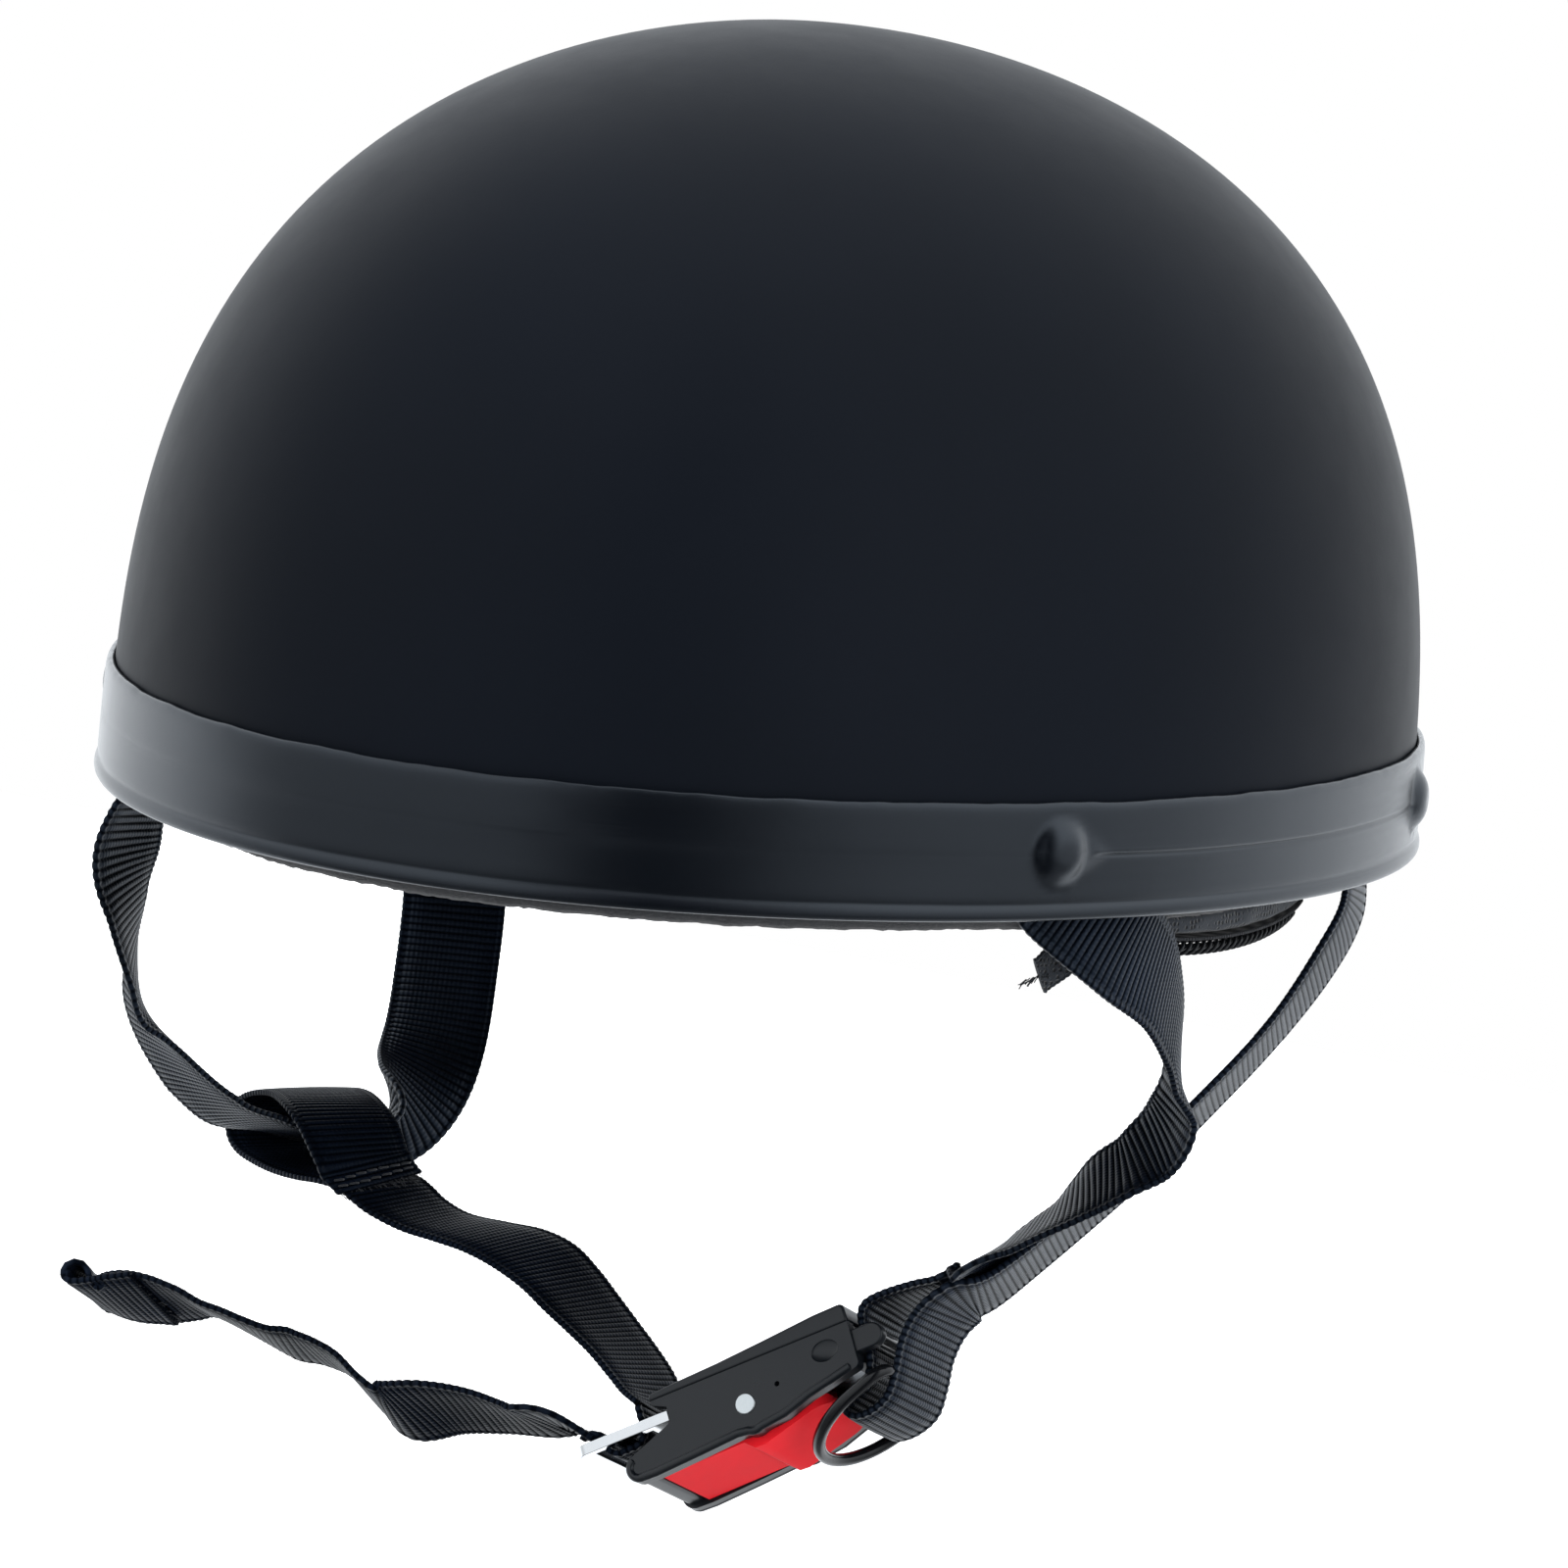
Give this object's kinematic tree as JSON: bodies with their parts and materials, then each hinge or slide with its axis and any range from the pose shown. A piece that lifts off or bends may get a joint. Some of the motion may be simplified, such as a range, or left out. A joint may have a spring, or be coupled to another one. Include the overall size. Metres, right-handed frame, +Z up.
{
  "type": "half helmet",
  "caption": "Novelty open-face half helmet with rolled edge trim, padded liner, webbing chin strap and a quick-release buckle with a hinged lever, sliding tongue and ring.",
  "frame": {"origin": "middle of the head opening, in the plane of the edge trim's foot, where a head enters", "axes": "+Z up to the crown, -Y to the wearer's face, +X to the wearer's left"},
  "size_m": [0.2314, 0.2728, 0.2706],
  "materials": {
    "shell_paint": "matte black paint on a moulded plastic shell",
    "trim_vinyl": "satin black extruded vinyl edging",
    "liner_foam": null,
    "liner_fabric": "black brushed liner cloth over padding",
    "felt": "black felt",
    "mesh_fabric": "dark grey knitted spacer mesh",
    "zip_tape_fabric": "black woven zip tape",
    "zip_filament": "black nylon coil",
    "rivet_steel": "plated steel rivet",
    "washer_zinc": "zinc plated steel washer",
    "webbing": "black heavy ribbed nylon webbing",
    "tongue_chrome": "chrome plated stamped steel",
    "buckle_plastic": "satin black moulded nylon",
    "pin_zinc": "bright zinc plated steel",
    "spring_steel": "hardened spring steel",
    "lever_plastic": "satin red moulded nylon",
    "bar_steel": "black lacquered steel",
    "ring_enamel": "gloss black lacquered steel wire"
  },
  "bodies": {
    "helmet": {"shell": "shell_paint", "edge_trim": "trim_vinyl", "foam_liner": "liner_foam", "comfort_liner": "liner_fabric", "edge_felt": "felt", "ear_pad": "mesh_fabric", "zip_tape": "zip_tape_fabric", "zip_coil": "zip_filament", "rivets": "rivet_steel", "rivet_washers": "washer_zinc", "left_strap": "webbing", "right_strap": "webbing", "strap_tab": "mesh_fabric", "chin_strap": "webbing", "buckle_body": "buckle_plastic", "buckle_cover": "buckle_plastic", "buckle_pin": "pin_zinc", "catch_spring": "spring_steel", "strap_bar": "bar_steel"},
    "lever": {"release_lever": "lever_plastic"},
    "tongue": {"tongue_plate": "tongue_chrome", "tail_strap": "webbing"},
    "ring": {"d_ring": "ring_enamel"}
  },
  "joints": [
    {"name": "lever_hinge", "type": "hinge", "parent": "helmet", "child": "lever", "pos_m": [0.032, -0.024, -0.107], "axis": [-0.0209, 0.9249, -0.3796], "range_deg": [0, 12], "stiffness_Nm_per_rad": 0.15, "springref_deg": -2.86, "deforming": ["catch_spring"]},
    {"name": "tongue_slide", "type": "slide", "parent": "helmet", "child": "tongue", "axis": [-0.8365, -0.2241, -0.5], "range_m": [0, 0.024], "deforming": ["chin_strap", "catch_spring"]},
    {"name": "ring_swing", "type": "hinge", "parent": "helmet", "child": "ring", "pos_m": [0.05636, -0.01902, -0.0962], "axis": [-0.0209, 0.9249, -0.3796], "range_deg": [-115, 0]}
  ]
}
